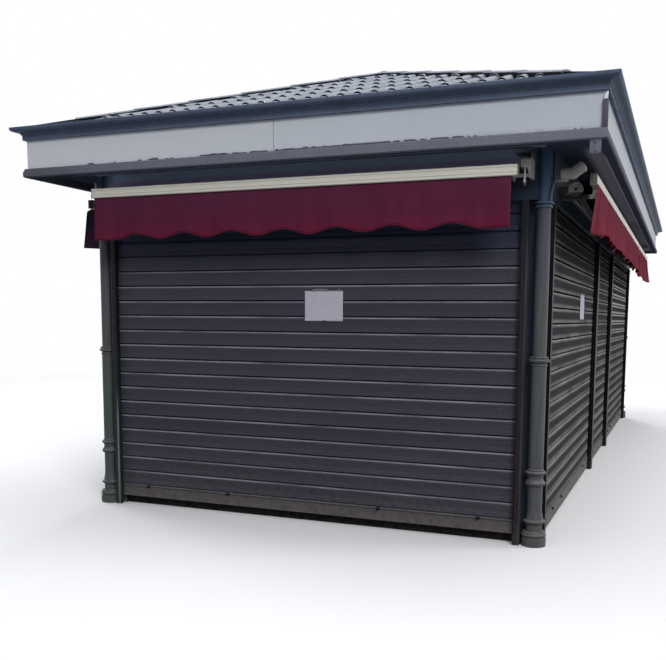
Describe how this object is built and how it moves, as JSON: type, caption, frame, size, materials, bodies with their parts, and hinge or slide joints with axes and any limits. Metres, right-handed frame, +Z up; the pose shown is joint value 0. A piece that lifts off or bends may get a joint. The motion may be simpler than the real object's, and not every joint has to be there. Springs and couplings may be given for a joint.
{
  "type": "street kiosk",
  "caption": "Street kiosk closed by roller shutters on every side, with cast corner columns, wound-in awnings, a bare sign band, a moulded cornice and a hipped tile roof.",
  "frame": {"origin": "on the ground under the middle of the kiosk, halfway between its shutters both ways", "axes": "+Z up; the front faces -Y; the long sides with the door shutters face +X and -X"},
  "size_m": [4.292, 8.76, 3.6031],
  "materials": {
    "frame_paint": "satin",
    "floor": "matte",
    "column_iron": "satin",
    "shutter_paint": "satin",
    "bottom_bar": "matte",
    "guide_paint": "satin",
    "trim_paint": "satin",
    "sign_panel": "satin",
    "cornice_paint": "satin",
    "roof_tile": "matte",
    "awning_bar": "satin",
    "awning_cloth": "matte",
    "lamp_housing": "matte"
  },
  "bodies": {
    "root": {"base_frame": "frame_paint", "floor_deck": "floor", "frame_posts": "frame_paint", "columns_front": "column_iron", "columns_rear": "column_iron", "shutter_front": "shutter_paint", "shutter_rear": "shutter_paint", "shutter_right_front": "shutter_paint", "door_shutter_right": "shutter_paint", "shutter_right_rear": "shutter_paint", "shutter_left_front": "shutter_paint", "door_shutter_left": "shutter_paint", "shutter_left_rear": "shutter_paint", "shutter_coils": "shutter_paint", "bottom_bars": "bottom_bar", "shutter_guides": "guide_paint", "shutter_box_front": "frame_paint", "shutter_box_rear": "frame_paint", "shutter_box_right": "frame_paint", "shutter_box_left": "frame_paint", "eaves_front": "trim_paint", "eaves_rear": "trim_paint", "eaves_right": "trim_paint", "eaves_left": "trim_paint", "sign_front": "sign_panel", "sign_rear": "sign_panel", "sign_right": "sign_panel", "sign_left": "sign_panel", "cornice_front": "cornice_paint", "cornice_rear": "cornice_paint", "cornice_right": "cornice_paint", "cornice_left": "cornice_paint", "roof_front": "roof_tile", "roof_rear": "roof_tile", "roof_right": "roof_tile", "roof_left": "roof_tile", "ridge_caps": "roof_tile", "awning_frame_front": "awning_bar", "awning_frame_rear": "awning_bar", "awning_frame_right": "awning_bar", "awning_frame_left": "awning_bar", "awning_cloth_front": "awning_cloth", "awning_cloth_rear": "awning_cloth", "awning_cloth_right": "awning_cloth", "awning_cloth_left": "awning_cloth", "corner_lamp": "lamp_housing"}
  },
  "joints": []
}
